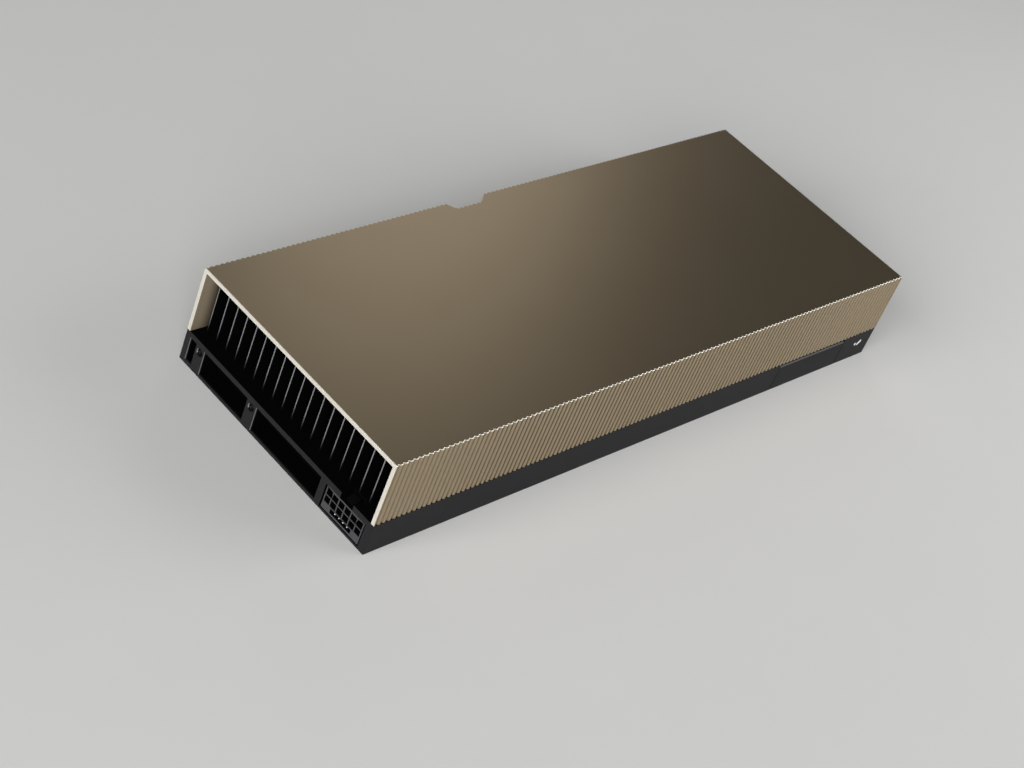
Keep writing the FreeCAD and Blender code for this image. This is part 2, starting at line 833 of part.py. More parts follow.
nodes = {
    "top_shroud": make_top_shroud(),
    "base_frame": make_base_frame(),
    "backplate": make_backplate(),
    "insulating_sheet": make_insulating_sheet(),
    "case_screws": make_case_screws(),
    "circuit_board": make_circuit_board(),
    "edge_contacts_front": make_edge_contacts(board_top, board_top + contact_thickness),
    "edge_contacts_back": make_edge_contacts(board_lift - contact_thickness, board_lift),
    "processor_substrate": make_substrate(),
    "package_stiffener": make_stiffener(),
    "processor_die": chip(package_x, package_y, (die_length, die_width, chip_thickness), package_top),
    "memory_stacks": make_memory_stacks(),
    "thermal_interface": make_thermal_interface(),
    "heatsink_base": make_heatsink_base(),
    "heatsink_fins": make_heatsink_fins(),
    "spring_plate": make_spring_plate(),
    "heatsink_screws": make_heatsink_screws(),
    "inductors": phase_chips(inductor_offset, inductor_size),
    "power_stages": phase_chips(stage_offset(), stage_size),
    "output_capacitors": phase_chips(output_cap_offset(), output_cap_size),
    "inductor_pads": Part.makeCompound(phase_strips(
        inductor_offset, inductor_size, board_top + inductor_size[2],
        board_top + inductor_size[2] + pad_thickness, 0)),
    "power_stage_pads": Part.makeCompound(phase_strips(
        stage_offset(), stage_size, board_top + stage_size[2],
        board_top + stage_size[2] + pad_thickness, 0)),
    "input_inductor": chip(input_part_x(input_inductor_behind), connector_y, input_inductor_size),
    "input_capacitors": make_input_capacitors(),
    "current_shunts": make_pair(shunt_behind, shunt_size),
    "input_fuses": make_pair(fuse_behind, fuse_size),
    "power_controller": chip(input_part_x(input_inductor_behind), package_y, power_controller_size),
    "management_controller": chip(outlet_chips_x, package_y, management_controller_size),
    "firmware_memory": chip(outlet_chips_x, package_y + phase_pitch * 2, firmware_size),
    "clock_crystal": chip(outlet_chips_x, package_y - phase_pitch * 2, crystal_size),
    "back_capacitors": make_back_capacitors(),
    "power_connector_housing": make_connector_housing(),
    "power_contacts": make_power_contacts(),
    "sense_contacts": make_sense_contacts(),
    "bridge_connector": make_bridge_connector(),
    "bridge_connector_cover": make_bridge_cover(),
}

os.makedirs("parts", exist_ok=True)
for name, shape in nodes.items():
    export(name, shape)
    print(name, len(shape.Solids), round(shape.Volume, 1), shape.isValid())
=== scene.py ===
# %% [markdown]
# # A passive accelerator card, from bare solids to a finished object
#
# This notebook takes the packed CAD model of a server's accelerator card and gives it its looks. On the
# real card a fluted gold shroud, anodised and then cut bright at its ends, stands on a charcoal frame.
# Dark fins fill the shroud, and air is blown through them from the end with the power connector.
#
# Everything is in metres, in the CAD model's own frame: x runs from the power connector's end to the
# bracket's end, y from the plain long side to the side with the edge contacts, and z up from the floor.
# The loader keeps each CAD node where it is. Pieces made here are put round those nodes.

# %% Load the frame
import json
import math

import bmesh
import bpy
from mathutils import Matrix, Vector


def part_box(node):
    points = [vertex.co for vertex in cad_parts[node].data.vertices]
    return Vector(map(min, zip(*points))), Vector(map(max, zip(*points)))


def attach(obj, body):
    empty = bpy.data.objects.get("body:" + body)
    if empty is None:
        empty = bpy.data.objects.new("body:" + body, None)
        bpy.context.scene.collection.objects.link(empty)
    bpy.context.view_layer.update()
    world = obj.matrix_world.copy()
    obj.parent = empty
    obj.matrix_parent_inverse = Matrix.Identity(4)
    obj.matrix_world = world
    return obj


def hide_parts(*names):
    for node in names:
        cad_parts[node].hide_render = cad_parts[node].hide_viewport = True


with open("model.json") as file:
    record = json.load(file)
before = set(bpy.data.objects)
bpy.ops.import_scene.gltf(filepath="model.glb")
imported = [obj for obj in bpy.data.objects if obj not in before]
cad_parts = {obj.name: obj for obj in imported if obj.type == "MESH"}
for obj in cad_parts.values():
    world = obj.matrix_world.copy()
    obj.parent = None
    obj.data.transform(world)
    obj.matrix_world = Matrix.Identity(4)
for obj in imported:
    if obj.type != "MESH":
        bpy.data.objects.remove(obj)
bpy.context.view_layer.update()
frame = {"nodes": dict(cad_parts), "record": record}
mm = 0.001
print("CAD nodes:", len(frame["nodes"]))

# %% [markdown]
# ## Where things are
# A scene that copies numbers from a drawing goes wrong when the drawing changes. So the places come
# from the boxes of the CAD nodes, and only what the solids don't state, such as the pitch of the
# contacts, is written down as a number.

# %% Read the main places
ring_low, ring_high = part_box("base_frame")
socket_low, socket_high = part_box("power_connector_housing")
deck_level = ring_high.z
top_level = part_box("top_shroud")[1].z
intake_end = ring_low.x
outlet_end = ring_high.x
plain_side = ring_low.y
slot_side = ring_high.y
print("gold starts at", round(deck_level / mm, 2), "mm and ends at", round(top_level / mm, 2), "mm")

# %% [markdown]
# ## Shader maths as arithmetic
# A node tree for "one minus the mask, times 0.2" takes two Math nodes and three links. Written as
# `(1 - mask) * 0.2` it is one line that can be read. `Wire` wraps a node's output and turns each
# operator into a Math node. `Board` adds every other kind of node with one method: its settings go in
# first, because some of them change which sockets the node has, and then its sockets get values or
# wires. Two nodes are used so often that they get a name: `blend` mixes two colours, and `fade` turns
# a distance into a soft step.

# %% Wires and boards
class Wire:
    """A node's output that can stand in a sum."""

    def __init__(self, board, socket):
        self.board = board
        self.socket = socket

    def maths(self, operation, first, second):
        return self.board.node("ShaderNodeMath", {"operation": operation}, {0: first, 1: second})

    def __add__(self, other):
        return self.maths("ADD", self, other)

    def __sub__(self, other):
        return self.maths("SUBTRACT", self, other)

    def __rsub__(self, other):
        return self.maths("SUBTRACT", other, self)

    def __mul__(self, other):
        return self.maths("MULTIPLY", self, other)

    def __gt__(self, other):
        return self.maths("GREATER_THAN", self, other)

    def __lt__(self, other):
        return self.maths("LESS_THAN", self, other)

    def __pow__(self, other):
        return self.maths("POWER", self, other)

    __radd__ = __add__
    __rmul__ = __mul__


class Board:
    """A node tree, with one method that adds any node to it."""

    def __init__(self, tree):
        self.tree = tree

    def node(self, kind, settings=None, sockets=None, output=0):
        made = self.tree.nodes.new(kind)
        for name, value in (settings or {}).items():
            setattr(made, name, value)
        for name, value in (sockets or {}).items():
            self.feed(made.inputs[name], value)
        return Wire(self, made.outputs[output])

    def feed(self, socket, value):
        if isinstance(value, Wire):
            self.tree.links.new(value.socket, socket)
        else:
            socket.default_value = value

    def blend(self, factor, first, second):
        """A mix of two colours, each a wire or three numbers."""
        first, second = [c if isinstance(c, Wire) else (*c, 1) for c in (first, second)]
        return self.node("ShaderNodeMix", {"data_type": "RGBA"},
                         {0: factor, 6: first, 7: second}, output=2)

    def fade(self, value, low, high, first=0.0, last=1.0, shape="SMOOTHSTEP"):
        """From `first` to `last` while `value` goes from `low` to `high`."""
        return self.node("ShaderNodeMapRange", {"interpolation_type": shape}, {
            "Value": value, "From Min": low, "From Max": high, "To Min": first, "To Max": last})


print("operators:", [name for name in vars(Wire) if name.startswith("__") and name != "__init__"][:5])

# %% [markdown]
# ## A finish and its sockets
# Every surface here is one Principled shader. A finish sets the values that are the same all over
# directly on the shader, and `vary` links the few that change over the surface: colour, roughness,
# metal and the small relief. Patterns read Object coordinates, so a speck is as large on a screw as on
# the shroud, and it stays put because every piece's place is in its mesh.

# %% The finish class
class Finish(Board):
    """A material with one Principled shader."""

    def __init__(self, name, **constants):
        self.material = bpy.data.materials.new(name)
        self.material.use_nodes = True
        super().__init__(self.material.node_tree)
        self.shader = self.tree.nodes["Principled BSDF"]
        self.place = self.node("ShaderNodeTexCoord", output="Object")
        for socket, value in constants.items():
            self.shader.inputs[socket.replace("_", " ")].default_value = value

    def vary(self, socket, wire):
        self.feed(self.shader.inputs[socket], wire)

    def grain(self, size, detail=2.0, stretch=(1, 1, 1)):
        """Soft noise from 0 to 1 whose features are about `size` across."""
        place = self.node("ShaderNodeMapping", None, {"Vector": self.place, "Scale": stretch})
        return self.node("ShaderNodeTexNoise", None,
                         {"Vector": place, "Scale": 1 / size, "Detail": detail, "Roughness": 0.55})

    def colours(self, factor, first, second):
        self.vary("Base Color", self.blend(factor, first, second))

    def relief(self, height, depth, strength=1.0):
        self.vary("Normal", self.node("ShaderNodeBump", None,
                                      {"Height": height, "Distance": depth, "Strength": strength}))

    def axis(self, name):
        """One coordinate of the surface's place, in metres."""
        return self.node("ShaderNodeSeparateXYZ", None, {0: self.place}, output=name)


print("a finish can vary its colour, roughness, metal, coat and relief")

# %% [markdown]
# ## Distances on the card
# Painted shade follows the shape: it changes with the distance from an end or from a side. An
# image could hold that, but a distance worked out from the surface's own place is exact, and it stays
# right when the card's size changes.

# %% How far from the ends and the sides
def nearer(finish, first, second):
    return finish.node("ShaderNodeMath", {"operation": "MINIMUM"}, {0: first, 1: second})


def from_ends(finish):
    x = finish.axis("X")
    return nearer(finish, x - intake_end, outlet_end - x)


def from_sides(finish):
    y = finish.axis("Y")
    return nearer(finish, y - plain_side, slot_side - y)


print("the middle is", round((outlet_end - intake_end) / 2 / mm, 1), "mm from the ends")

# %% [markdown]
# ## The gold anodising
# The shroud is aluminium, blasted fine, dyed and anodised. It is a metal, so its colour sits in the
# reflection, and the blasting makes that reflection wide and satin. A dyed surface is never quite even,
# so two golds a shade apart are mixed by a broad, faint noise. The blasting itself is relief far
# smaller than a millimetre: it only has to break up the highlight. The bottom of each flute gets
# painted
# shade: the gold darkens with the depth below the side's outer plane, and less so near the ends, where
# more light falls. Inside, where the blasting didn't reach, the dye lies on rough metal, part of it
# scatters light as paint does, and painted shade darkens it a few millimetres in.

# %% Gold and its bright cuts
flute_depth = 0.6 * mm


def painted_flute_shade(finish):
    """Painted shade: 0 on the ridges and the top, most in a flute's bottom far from both ends."""
    depth = from_sides(finish) * (1 / flute_depth)
    in_flute = (depth < 1.1) * (finish.axis("Z") < top_level - 0.05 * mm)
    less_painted_shade_at_ends = finish.fade(from_ends(finish), 5 * mm, 75 * mm, 0.42, 0.88)
    return finish.fade(depth, 0.08, 0.7) * in_flute * less_painted_shade_at_ends


def gold_anodising():
    finish = Finish("gold_anodising", Metallic=1.0)
    gold = finish.blend(finish.grain(60 * mm), (0.44, 0.345, 0.225), (0.48, 0.385, 0.26))
    # Painted shade: the flutes' bottoms darken towards dark brown, less near the ends, where more light
    # falls.
    finish.colours(painted_flute_shade(finish), gold, (0.04, 0.03, 0.017))
    finish.vary("Roughness", 0.36 + 0.08 * finish.grain(0.5 * mm))
    finish.relief(finish.grain(0.12 * mm, detail=1.0), 0.004 * mm, 0.35)
    return finish.material


def gold_inside():
    finish = Finish("gold_inside", Metallic=0.45)
    dyed = finish.blend(finish.grain(20 * mm), (0.46, 0.37, 0.26), (0.54, 0.44, 0.31))
    # Painted shade: the inside darkens from 2 to 10 mm in from each end.
    painted_shade_inward = finish.fade(from_ends(finish), 2 * mm, 10 * mm)
    finish.colours(painted_shade_inward, dyed, (0.02, 0.017, 0.012))
    finish.vary("Roughness", 0.5 + 0.1 * finish.grain(1 * mm))
    finish.relief(finish.grain(0.25 * mm), 0.01 * mm, 0.5)
    return finish.material


def bright_cut():
    """Bare metal where a cutter took the anodising off, with the cutter's fine lines."""
    finish = Finish("bright_cut", Metallic=0.7)
    lines = finish.grain(0.25 * mm, stretch=(1, 0.05, 1))
    finish.colours(finish.grain(8 * mm), (0.92, 0.87, 0.76), (0.97, 0.92, 0.81))
    finish.vary("Roughness", 0.34 + 0.14 * lines)
    finish.relief(lines, 0.003 * mm, 0.3)
    return finish.material


gold = gold_anodising()
rough_gold = gold_inside()
cut_edge = bright_cut()
print("made", gold.name, "and", cut_edge.name)

# %% [markdown]
# ## Charcoal
# The frame is cast and painted in a fine satin charcoal: not a metal to the eye, a little lighter than
# black, with a grain that catches light at its edges. Edge faces that turn one way take a pale grey as
# a painted highlight.

# %% Charcoal and its painted edge highlight
def charcoal_paint(name):
    finish = Finish(name, IOR=1.2)
    finish.colours(finish.grain(0.9 * mm, detail=3.0), (0.012, 0.012, 0.013), (0.020, 0.020, 0.0215))
    finish.vary("Roughness", 0.46 + 0.12 * finish.grain(0.35 * mm))
    finish.relief(finish.grain(0.3 * mm), 0.012 * mm, 0.5)
    return finish


def painted_highlight_edge():
    """A pale grey for the frame's edge faces that turn one way: a painted highlight."""
    finish = Finish("painted_highlight_edge", Metallic=0.3)
    streaks = finish.grain(0.4 * mm, stretch=(1, 1, 0.2))
    # Painted highlight: pale grey, given only to faces picked by the way they turn.
    finish.colours(streaks, (0.12, 0.12, 0.124), (0.21, 0.21, 0.215))
    finish.vary("Roughness", 0.4 + 0.2 * streaks)
    return finish.material


painted_highlight = painted_highlight_edge()
print("made", painted_highlight.name)

# %% [markdown]
# ## The black inside
# The deck inside the shroud and the fins get a black deeper than any real finish, as painted shade, so
# that the inside reads as a dark tunnel with only the fins' cut front edges in it. One black for both
# would be simpler, but rolled strip has lines along it and a cast deck has none. The cut edges fade
# towards the deck, where less light comes.

# %% Deck and fins
def painted_shade_black():
    finish = Finish("painted_shade_black", IOR=1.08)
    # Painted shade: a black deeper than a real finish, used wherever the inside lies in shade.
    finish.colours(finish.grain(1.5 * mm), (0.0014, 0.0014, 0.0016), (0.0032, 0.0032, 0.0035))
    finish.vary("Roughness", 0.55 + 0.15 * finish.grain(0.5 * mm))
    finish.relief(finish.grain(0.2 * mm), 0.008 * mm, 0.4)
    return finish.material


def fin_black_with_painted_shade():
    finish = Finish("fin_black_with_painted_shade", IOR=1.12)
    rolling = finish.grain(0.6 * mm, stretch=(0.05, 1, 1))
    # Dark fins, with painted shade: the black is deeper than a real finish.
    finish.colours(rolling, (0.0016, 0.0016, 0.0018), (0.0036, 0.0036, 0.004))
    finish.vary("Roughness", 0.45 + 0.15 * rolling)
    finish.relief(rolling, 0.004 * mm, 0.4)
    return finish.material


def fin_cut():
    finish = Finish("fin_cut", Metallic=0.7)
    shear = finish.grain(0.3 * mm, stretch=(1, 1, 0.1))
    bare = finish.blend(shear, (0.28, 0.28, 0.29), (0.40, 0.40, 0.41))
    climb = finish.fade(finish.axis("Z"), deck_level, deck_level + 8 * mm)
    finish.colours(climb, (0.003, 0.003, 0.003), bare)
    finish.vary("Roughness", 0.35 + 0.2 * shear)
    return finish.material


# Painted shade: this black goes on the deck, the heatsink's base, the connector's gap and the holes.
shade_black = painted_shade_black()
print("made", shade_black.name)

# %% [markdown]
# ## A printed mark
# Near the outlet end the real frame carries a tiny white print. A raised patch would stand proud of
# the card's box, and print has no height, so the mark is drawn in the paint's own shader: two short
# strokes, each a line with round ends, found from their distance in x and z on the plain side. Just
# inside the openings the paint turns black, as painted shade in their depth.

# %% The frame's paint with its mark
# each stroke's start and end in x and z, and its radius, in mm from the intake end and the floor
mark_strokes = [((257.9, 7.6), (258.2, 7.2), 0.5), ((259.9, 7.0), (261.1, 8.1), 0.7)]
end_lit_rim = 0.6 * mm
side_lit_rim = 2.2 * mm
dark_reach = 40 * mm


def capsule(finish, start, end, radius):
    """1 inside a stroke on the plain side, from start to end in x and z, and 0 outside."""
    along = [b - a for a, b in zip(start, end)]
    length = math.hypot(*along)
    turn = [value / length for value in along]
    x = finish.axis("X") - start[0]
    z = finish.axis("Z") - start[1]
    travel = finish.node("ShaderNodeClamp", None,
                         {"Value": x * turn[0] + z * turn[1], "Min": 0.0, "Max": length})
    off_x = x - travel * turn[0]
    off_z = z - travel * turn[1]
    return (off_x * off_x + off_z * off_z) ** 0.5 < radius


def painted_shade_inside(finish):
    """Painted shade: 1 more than a thin rim in from an end and away from the side walls, up to
    dark_reach.
    """
    depth = from_ends(finish)
    return (depth > end_lit_rim) * (from_sides(finish) > side_lit_rim) * (depth < dark_reach)


def frame_paint():
    finish = charcoal_paint("frame_paint")
    base = finish.shader.inputs["Base Color"].links[0].from_socket
    mask = None
    for start, end, radius in mark_strokes:
        places = [(intake_end + x * mm, z * mm) for x, z in (start, end)]
        stroke = capsule(finish, *places, radius * mm)
        mask = stroke if mask is None else mask + stroke
    mask = mask * (finish.axis("Y") < plain_side + 0.5 * mm)
    print_colour = (0.80, 0.80, 0.78)
    shown = finish.blend(mask, Wire(finish, base), print_colour)
    # Painted shade: the frame turns black inside the openings, behind a thin lit rim.
    painted_shade_colour = (0.0015, 0.0015, 0.0016)
    finish.colours(painted_shade_inside(finish), shown, painted_shade_colour)
    return finish.material


ring_paint = frame_paint()
print("strokes start at x", [round(intake_end / mm + stroke[0][0], 1) for stroke in mark_strokes])

# %% [markdown]
# ## Plastics, chips and contacts
# Inside are materials seen only in glimpses, through the windows and the sockets. Each still gets its
# own grain: fibres in the connector's plastic, a weave in the board, a swirl in ground silicon. One
# function makes the plain moulded ones, because they differ only in colour, gloss and grain.

# %% Moulded, plated and printed finishes
def moulded(name, dark, light, gloss=0.45, size=0.4 * mm, depth=0.008 * mm, index=1.5):
    finish = Finish(name, IOR=index)
    speck = finish.grain(size, detail=3.0)
    finish.colours(speck, dark, light)
    finish.vary("Roughness", gloss + 0.12 * finish.grain(size * 3))
    finish.relief(speck, depth, 0.4)
    return finish.material


def metal(name, dark, light, gloss=0.3, size=0.5 * mm, stretch=(1, 1, 1)):
    finish = Finish(name, Metallic=1.0)
    streaks = finish.grain(size, stretch=stretch)
    finish.colours(streaks, dark, light)
    finish.vary("Roughness", gloss + 0.15 * streaks)
    finish.relief(streaks, 0.002 * mm, 0.3)
    return finish.material


def solder_mask():
    """The board: a glassy dark green film over woven glass, with faint tracks under it."""
    finish = Finish("solder_mask", IOR=1.5, Coat_Roughness=0.12)
    weave = finish.node("ShaderNodeTexBrick", {"offset": 0.5}, {
        "Vector": finish.place, "Scale": 1 / (1.2 * mm), "Mortar Size": 0.03,
        "Color1": (0.35, 0.35, 0.35, 1), "Color2": (0.65, 0.65, 0.65, 1), "Mortar": (0, 0, 0, 1)})
    tracks = finish.node("ShaderNodeTexWave", {"bands_direction": "DIAGONAL"}, {
        "Vector": finish.place, "Scale": 1 / (7 * mm), "Distortion": 1.5, "Detail": 1.0})
    copper = (tracks > 0.82) * 0.6
    finish.colours(copper, (0.006, 0.022, 0.013), (0.018, 0.055, 0.03))
    finish.vary("Roughness", 0.28 + 0.1 * finish.grain(0.8 * mm))
    finish.vary("Coat Weight", 0.4 + 0.2 * finish.grain(2 * mm))
    finish.relief(weave, 0.004 * mm, 0.3)
    return finish.material


def plate_black():
    """The closing plate: painted black, and darker above, where it faces the inside, as painted shade.
    """
    finish = Finish("plate_black", IOR=1.12)
    paint = finish.blend(finish.grain(0.4 * mm, detail=3.0),
                         (0.010, 0.010, 0.011), (0.016, 0.016, 0.017))
    # Painted shade on the upper face, inside the card.
    painted_shade_above = finish.axis("Z") > 0.6 * mm
    finish.colours(painted_shade_above, paint, (0.0012, 0.0012, 0.0013))
    finish.vary("Roughness", 0.62 + 0.12 * finish.grain(1.2 * mm))
    finish.relief(finish.grain(0.4 * mm), 0.008 * mm, 0.4)
    return finish.material


finishes = {
    "gold_aluminium": gold,
    "black_frame": ring_paint,
    "black_plate": plate_black(),
    "black_film": moulded("black_film", (0.002, 0.002, 0.0022), (0.004, 0.004, 0.0043), 0.6, 3 * mm,
                          index=1.1),
    "dark_fins": fin_black_with_painted_shade(),
    "dark_base": shade_black,
    "screw_steel": metal("black_oxide", (0.055, 0.055, 0.058), (0.11, 0.11, 0.115), 0.38),
    "spring_steel": metal("spring_steel", (0.48, 0.48, 0.49), (0.62, 0.62, 0.63), 0.3,
                          stretch=(1, 0.06, 1)),
    "circuit_board": solder_mask(),
    "contact_gold": metal("hard_gold", (0.78, 0.55, 0.20), (0.88, 0.66, 0.29), 0.24, 0.3 * mm),
    "substrate": moulded("laminate", (0.016, 0.055, 0.032), (0.026, 0.078, 0.046), 0.3, 0.8 * mm),
    "silicon": metal("ground_silicon", (0.13, 0.13, 0.16), (0.19, 0.19, 0.23), 0.14, 4 * mm),
    "copper_ring": metal("nickel_plate", (0.56, 0.54, 0.50), (0.68, 0.66, 0.62), 0.3),
    "thermal_pad": moulded("thermal_pad", (0.42, 0.44, 0.50), (0.52, 0.54, 0.60), 0.7, 0.6 * mm,
                           0.03 * mm),
    "ferrite": moulded("pressed_ferrite", (0.10, 0.10, 0.105), (0.17, 0.17, 0.175), 0.6, 0.25 * mm,
                       0.03 * mm),
    "chip_body": moulded("moulded_epoxy", (0.018, 0.018, 0.019), (0.030, 0.030, 0.031), 0.5),
    "capacitor": moulded("capacitor_body", (0.07, 0.055, 0.04), (0.11, 0.09, 0.065), 0.5),
    "connector_plastic": moulded("filled_nylon", (0.045, 0.045, 0.048), (0.068, 0.068, 0.072), 0.42,
                                 0.3 * mm, 0.015 * mm, index=1.35),
    "contact_metal": metal("tin_plate", (0.66, 0.64, 0.60), (0.80, 0.78, 0.74), 0.24, 0.4 * mm),
}

# %% [markdown]
# ## Dressing the CAD nodes
# The record says which slot each node takes its finish from. One loop gives every node its material, so
# that nothing is left in the importer's grey, whether it will be replaced below or not.

# %% Give every node its finish
for part in frame["record"]["subparts"]:
    mesh = frame["nodes"][part["node"]].data
    mesh.materials.clear()
    mesh.materials.append(finishes[part["material_slot"]])

# %% [markdown]
# ## From a CAD mesh to one that can be shaped
# A CAD node comes as loose triangles. To round its edges, a copy is needed whose triangles share their
# corners and whose flat faces are whole. `shaped_copy` merges the corners and dissolves the flat edges.
# A solid's edges are picked by the angle between their faces, and `soften` bevels them.

# %% Copying and softening
def shaped_copy(node):
    bm = bmesh.new()
    bm.from_mesh(frame["nodes"][node].data)
    bmesh.ops.remove_doubles(bm, verts=bm.verts, dist=0.002 * mm)
    bmesh.ops.dissolve_limit(bm, angle_limit=math.radians(0.5), verts=bm.verts, edges=bm.edges)
    return bm


def is_sharp(edge, least=25):
    return len(edge.link_faces) == 2 and math.degrees(edge.calc_face_angle()) > least


def in_plane(edge, axis, level, reach=0.01 * mm):
    return all(abs(v.co[axis] - level) < reach for v in edge.verts)


def soften(bm, edges, width, segments=2):
    bmesh.ops.bevel(bm, geom=edges, offset=width, offset_type="OFFSET", affect="EDGES",
                    segments=segments, profile=0.5, material=-1, loop_slide=True)
    return len(edges)


probe = shaped_copy("bridge_connector_cover")
print("cover:", len(frame["nodes"]["bridge_connector_cover"].data.polygons), "triangles become",
      len(probe.faces), "faces with", sum(is_sharp(e) for e in probe.edges), "sharp edges")
probe.free()

# %% [markdown]
# ## Finishing a piece
# A finished piece needs the same few steps each time: smooth shading that stops at real corners, a
# mesh, its materials, the body that it rides on and the CAD nodes that it stands for. Doing them in one
# function means that none is forgotten.

# %% One function for every piece
def finished(name, bm, materials, stands_for=(), crease=32):
    for face in bm.faces:
        face.smooth = True
    for edge in bm.edges:
        edge.smooth = not is_sharp(edge, crease)
    mesh = bpy.data.meshes.new(name)
    bm.to_mesh(mesh)
    bm.free()
    for material in materials:
        mesh.materials.append(material)
    piece = bpy.data.objects.new(name, mesh)
    bpy.context.scene.collection.objects.link(piece)
    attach(piece, "root")
    if stands_for:
        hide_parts(*stands_for)
    mesh.calc_loop_triangles()
    print(name, "has", len(mesh.loop_triangles), "triangles")


print("pieces get smooth faces, and corners sharper than 32 degrees stay")

# %% [markdown]
# ## The fluted shroud
# The shroud is one folded and machined shell. Its flutes are cut with a round tool, so the valleys are
# round, and the blasting has taken the corners off the ridges. The CAD solid has V grooves, which is
# enough for its size. Here the valley and ridge edges of a copy get bevelled: long upright edges are
# valleys where the wall bends inwards and ridges where it bends outwards. An array of one modelled
# flute would look the same on the straight sides, but the notch breaks the rhythm, and the copy
# already follows it.

# %% Round the flutes
valley_width = 0.34 * mm
ridge_width = 0.22 * mm


def flute_edges(bm, inwards):
    """The long upright edges of the outer skin, valleys or ridges, away from the four corners."""
    found = []
    for edge in bm.edges:
        run = edge.verts[1].co - edge.verts[0].co
        upright = abs(run.z) > 0.99 * (top_level - deck_level) and run.xy.length < 0.001 * mm
        inside = intake_end + 0.1 * mm < edge.verts[0].co.x < outlet_end - 0.1 * mm
        if upright and inside and is_sharp(edge):
            if (edge.calc_face_angle_signed() < 0) == inwards:
                found.append(edge)
    return found


shroud = shaped_copy("top_shroud")
valleys = soften(shroud, flute_edges(shroud, inwards=True), valley_width, segments=4)
ridges = soften(shroud, flute_edges(shroud, inwards=False), ridge_width, segments=2)
print("rounded", valleys, "valleys and", ridges, "ridge edges")

# %% [markdown]
# ## The bright rim
# After anodising, a cutter runs along the shroud's top outline and faces off both ends, which bares the
# metal. A narrow bevel along the outline gives the light a surface that faces it, where a painted line
# would not. The faces are then sorted into three finishes: bright where they were cut, rough gold
# inside, and plain gold on the rest. The notch lies further in than the other walls and is still skin.

# %% Cut the bright rim
rim_width = 0.2 * mm
notch_low = intake_end + 108 * mm
notch_high = intake_end + 128 * mm
notch_depth = 4.5 * mm
end_cut = 0.3 * mm
outer_skin = 1.0 * mm


def at_top_outline(edge):
    levels = sorted(abs(face.normal.z) for face in edge.link_faces)
    return in_plane(edge, 2, top_level) and len(levels) == 2 and levels[0] < 0.1 and levels[1] > 0.9


def in_notch(place):
    return place.y > slot_side - notch_depth and notch_low < place.x < notch_high


rim = soften(shroud, [e for e in shroud.edges if at_top_outline(e)], rim_width, segments=1)
for face in shroud.faces:
    middle = face.calc_center_median()
    at_end = min(middle.x - intake_end, outlet_end - middle.x) < end_cut
    is_chamfer = middle.z > top_level - rim_width and 0.2 < face.normal.z < 0.95
    inset = min(middle.y - plain_side, slot_side - middle.y)
    if is_chamfer or (at_end and abs(face.normal.x) > 0.6):
        face.material_index = 1
    elif middle.z < top_level - 1 * mm and inset > outer_skin and not in_notch(middle):
        face.material_index = 2
finished("fluted_shroud", shroud, [gold, cut_edge, rough_gold], ["top_shroud"])
print("the rim follows", rim, "edges")

# %% [markdown]
# ## The frame's holes and openings
# Two threaded holes in the intake end take the chassis support. They are countersunk. Of the ring, the
# part that turns towards the plain side gets a pale grey as a painted highlight, and the rest is black
# as painted shade. The bevels round the openings beside them get the painted highlight too, on the
# faces that turn that way. Each group is found by its place, bevelled in one go, so that the corners
# meet, and then sorted by where its faces look. A bevel on one upright edge alone would fold at its
# ends.

# %% Countersink the holes and paint highlights on the openings' edges
hole_level = ring_high.z - 3.9 * mm
support_y = [plain_side + 63.25 * mm, plain_side + 92.05 * mm]
hole_reach = 1.7 * mm
countersink = 0.3 * mm
window_round = 0.19 * mm
ring = shaped_copy("base_frame")


def in_support_hole(place):
    return any(math.hypot(place.y - y, place.z - hole_level) < hole_reach for y in support_y)


def at_support_hole(edge):
    return in_support_hole((edge.verts[0].co + edge.verts[1].co) / 2) and in_plane(edge, 0, intake_end)


def at_window(edge):
    """The mouth of an intake opening past the connector, as far as it is straight."""
    middle = (edge.verts[0].co + edge.verts[1].co) / 2
    within = (socket_high.y + 2 * mm < middle.y < slot_side - 1 * mm
              and 0.5 * mm < middle.z < deck_level - 0.5 * mm)
    return within and is_sharp(edge) and edge.calc_length() > 2 * mm and in_plane(edge, 0, intake_end)


sunk = soften(ring, [e for e in ring.edges if at_support_hole(e)], countersink, segments=1)
highlit_edges = soften(ring, [e for e in ring.edges if at_window(e)], window_round)
# Painted highlight on bevel faces turned towards the plain side; painted shade in the rest of each
# countersink.
for face in ring.faces:
    middle = face.calc_center_median()
    slants = -0.95 < face.normal.x < -0.2 and middle.x < intake_end + 1 * mm
    if slants and in_support_hole(middle):
        face.material_index = 2 if face.normal.y < -0.58 else 1
    elif slants and face.normal.y < -0.2:
        face.material_index = 2
print("countersank", sunk, "edges and highlighted", highlit_edges)

# %% [markdown]
# ## The frame's outer edges
# A casting has no knife edges. The edges that lie in the frame's outer faces get a small round, and the
# short ones round screw holes stay, because a bevel wider than their facets would fold over itself. The
# edge under the flutes stays sharp too: there the deck's painted shade shows as a row of small half
# discs in the valleys. The deck's upward faces inside the shroud, and the narrow gap round the
# connector's block, take the black as painted shade.

# %% Soften the frame
casting_round = 0.18 * mm
shortest = 1.0 * mm
connector_gap = 0.6 * mm


def on_outer_face(edge):
    ends = in_plane(edge, 0, intake_end) or in_plane(edge, 0, outlet_end)
    sides = in_plane(edge, 1, plain_side) or in_plane(edge, 1, slot_side)
    under_flutes = in_plane(edge, 2, deck_level) and sides
    return (ends or sides) and not under_flutes


def round_the_connector(place):
    at_side = socket_low.y - connector_gap < place.y < socket_high.y + connector_gap
    return at_side and place.x < intake_end + 3 * mm and place.z > socket_low.z - connector_gap


outer = [e for e in ring.edges if is_sharp(e) and on_outer_face(e) and e.calc_length() > shortest
         and not round_the_connector(e.verts[0].co) and not any(f.material_index for f in e.link_faces)]
softened = soften(ring, outer, casting_round)
